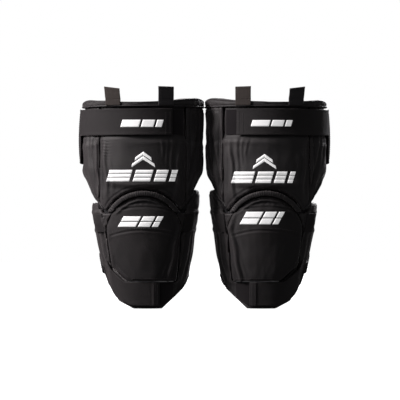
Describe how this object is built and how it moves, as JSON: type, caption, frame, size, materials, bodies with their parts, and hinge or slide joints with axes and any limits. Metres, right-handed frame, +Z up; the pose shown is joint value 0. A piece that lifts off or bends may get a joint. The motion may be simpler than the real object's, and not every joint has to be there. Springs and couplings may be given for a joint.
{
  "type": "goalie knee and thigh guards",
  "caption": "Pair of black padded ice-hockey goalie guards, each a thigh shell hinged on a domed knee and shin cup, closed behind the leg by wide elastics with hook-and-loop ends.",
  "frame": {"origin": "middle of the pair's bounding box, at the lowest edge of the knee guards", "axes": "+Z up the wearer's leg, -Y the way the wearer faces, +X to the wearer's left; the right-leg guard is at -X"},
  "size_m": [0.3864, 0.1642, 0.341],
  "materials": {
    "shell_cloth": "tightly woven nylon, satin",
    "panel_cloth": "diagonal twill nylon, satin",
    "lining": "brushed knit over soft padding",
    "foam": "closed-cell foam",
    "plate": "polyethylene sheet",
    "elastic": "ribbed woven elastic",
    "loop_tape": "brushed loop pile",
    "hook_tape": "moulded hooks",
    "tab_webbing": "woven webbing with hook face",
    "printed_mark": "screen-printed ink, satin"
  },
  "bodies": {
    "right_knee_guard": {"right_knee_lining": "lining", "right_knee_foam": "foam", "right_knee_plate": "plate", "right_knee_cover": "panel_cloth", "right_knee_roll": "shell_cloth", "right_calf_wing_outer": "shell_cloth", "right_calf_wing_inner": "shell_cloth", "right_knee_strap": "elastic", "right_calf_back_strap": "elastic", "right_calf_loop_patch": "loop_tape", "right_knee_strap_end_outer": "elastic", "right_knee_strap_end_inner": "elastic"},
    "right_thigh_guard": {"right_thigh_lining": "lining", "right_thigh_foam": "foam", "right_thigh_plate": "plate", "right_thigh_cover": "shell_cloth", "right_thigh_wing_outer": "shell_cloth", "right_thigh_wing_inner": "shell_cloth", "right_thigh_rim": "lining", "right_thigh_tongue": "lining", "right_thigh_loop_patch": "loop_tape", "right_thigh_back_strap": "elastic", "right_pant_tab_bases": "tab_webbing"},
    "right_thigh_strap": {"right_thigh_strap": "elastic", "right_thigh_strap_hook": "hook_tape"},
    "right_calf_strap": {"right_calf_strap": "elastic", "right_calf_strap_hook": "hook_tape"},
    "right_pant_tab_outer": {"right_pant_tab_outer": "tab_webbing"},
    "right_pant_tab_inner": {"right_pant_tab_inner": "tab_webbing"},
    "left_knee_guard": {"left_knee_lining": "lining", "left_knee_foam": "foam", "left_knee_plate": "plate", "left_knee_cover": "panel_cloth", "left_knee_roll": "shell_cloth", "left_calf_wing_outer": "shell_cloth", "left_calf_wing_inner": "shell_cloth", "left_knee_strap": "elastic", "left_calf_back_strap": "elastic", "left_calf_loop_patch": "loop_tape", "left_knee_strap_end_outer": "elastic", "left_knee_strap_end_inner": "elastic"},
    "left_thigh_guard": {"left_thigh_lining": "lining", "left_thigh_foam": "foam", "left_thigh_plate": "plate", "left_thigh_cover": "shell_cloth", "left_thigh_wing_outer": "shell_cloth", "left_thigh_wing_inner": "shell_cloth", "left_thigh_rim": "lining", "left_thigh_tongue": "lining", "left_thigh_loop_patch": "loop_tape", "left_thigh_back_strap": "elastic", "left_pant_tab_bases": "tab_webbing"},
    "left_thigh_strap": {"left_thigh_strap": "elastic", "left_thigh_strap_hook": "hook_tape"},
    "left_calf_strap": {"left_calf_strap": "elastic", "left_calf_strap_hook": "hook_tape"},
    "left_pant_tab_outer": {"left_pant_tab_outer": "tab_webbing"},
    "left_pant_tab_inner": {"left_pant_tab_inner": "tab_webbing"}
  },
  "joints": [
    {"name": "right_knee_flexion", "type": "hinge", "parent": "right_knee_guard", "child": "right_thigh_guard", "pos_m": [-0.0956, 0.00212, 0.15], "axis": [-1, 0, 0], "range_deg": [0, 90]},
    {"name": "right_thigh_strap_open", "type": "hinge", "parent": "right_thigh_guard", "child": "right_thigh_strap", "pos_m": [-0.1926, -0.00188, 0.286], "axis": [0, 0, -1], "range_deg": [0, 110]},
    {"name": "right_calf_strap_open", "type": "hinge", "parent": "right_knee_guard", "child": "right_calf_strap", "pos_m": [-0.1651, -0.00688, 0.06], "axis": [0, 0, -1], "range_deg": [0, 110]},
    {"name": "right_pant_tab_outer_fold", "type": "hinge", "parent": "right_thigh_guard", "child": "right_pant_tab_outer", "pos_m": [-0.14035, -0.06799, 0.322], "axis": [0.9397, -0.342, 0], "range_deg": [-60, 80]},
    {"name": "right_pant_tab_inner_fold", "type": "hinge", "parent": "right_thigh_guard", "child": "right_pant_tab_inner", "pos_m": [-0.05885, -0.07108, 0.322], "axis": [0.9397, 0.342, 0], "range_deg": [-60, 80]},
    {"name": "left_knee_flexion", "type": "hinge", "parent": "left_knee_guard", "child": "left_thigh_guard", "pos_m": [0.0956, 0.00212, 0.15], "axis": [-1, 0, 0], "range_deg": [0, 90]},
    {"name": "left_thigh_strap_open", "type": "hinge", "parent": "left_thigh_guard", "child": "left_thigh_strap", "pos_m": [0.1926, -0.00188, 0.286], "axis": [0, 0, 1], "range_deg": [0, 110]},
    {"name": "left_calf_strap_open", "type": "hinge", "parent": "left_knee_guard", "child": "left_calf_strap", "pos_m": [0.1651, -0.00688, 0.06], "axis": [0, 0, 1], "range_deg": [0, 110]},
    {"name": "left_pant_tab_outer_fold", "type": "hinge", "parent": "left_thigh_guard", "child": "left_pant_tab_outer", "pos_m": [0.14035, -0.06799, 0.322], "axis": [0.9397, 0.342, 0], "range_deg": [-60, 80]},
    {"name": "left_pant_tab_inner_fold", "type": "hinge", "parent": "left_thigh_guard", "child": "left_pant_tab_inner", "pos_m": [0.05885, -0.07108, 0.322], "axis": [0.9397, -0.342, 0], "range_deg": [-60, 80]},
    {"name": "guard_spacing", "type": "slide", "parent": "right_knee_guard", "child": "left_knee_guard", "axis": [1, 0, 0], "range_m": [0, 0.25]}
  ]
}
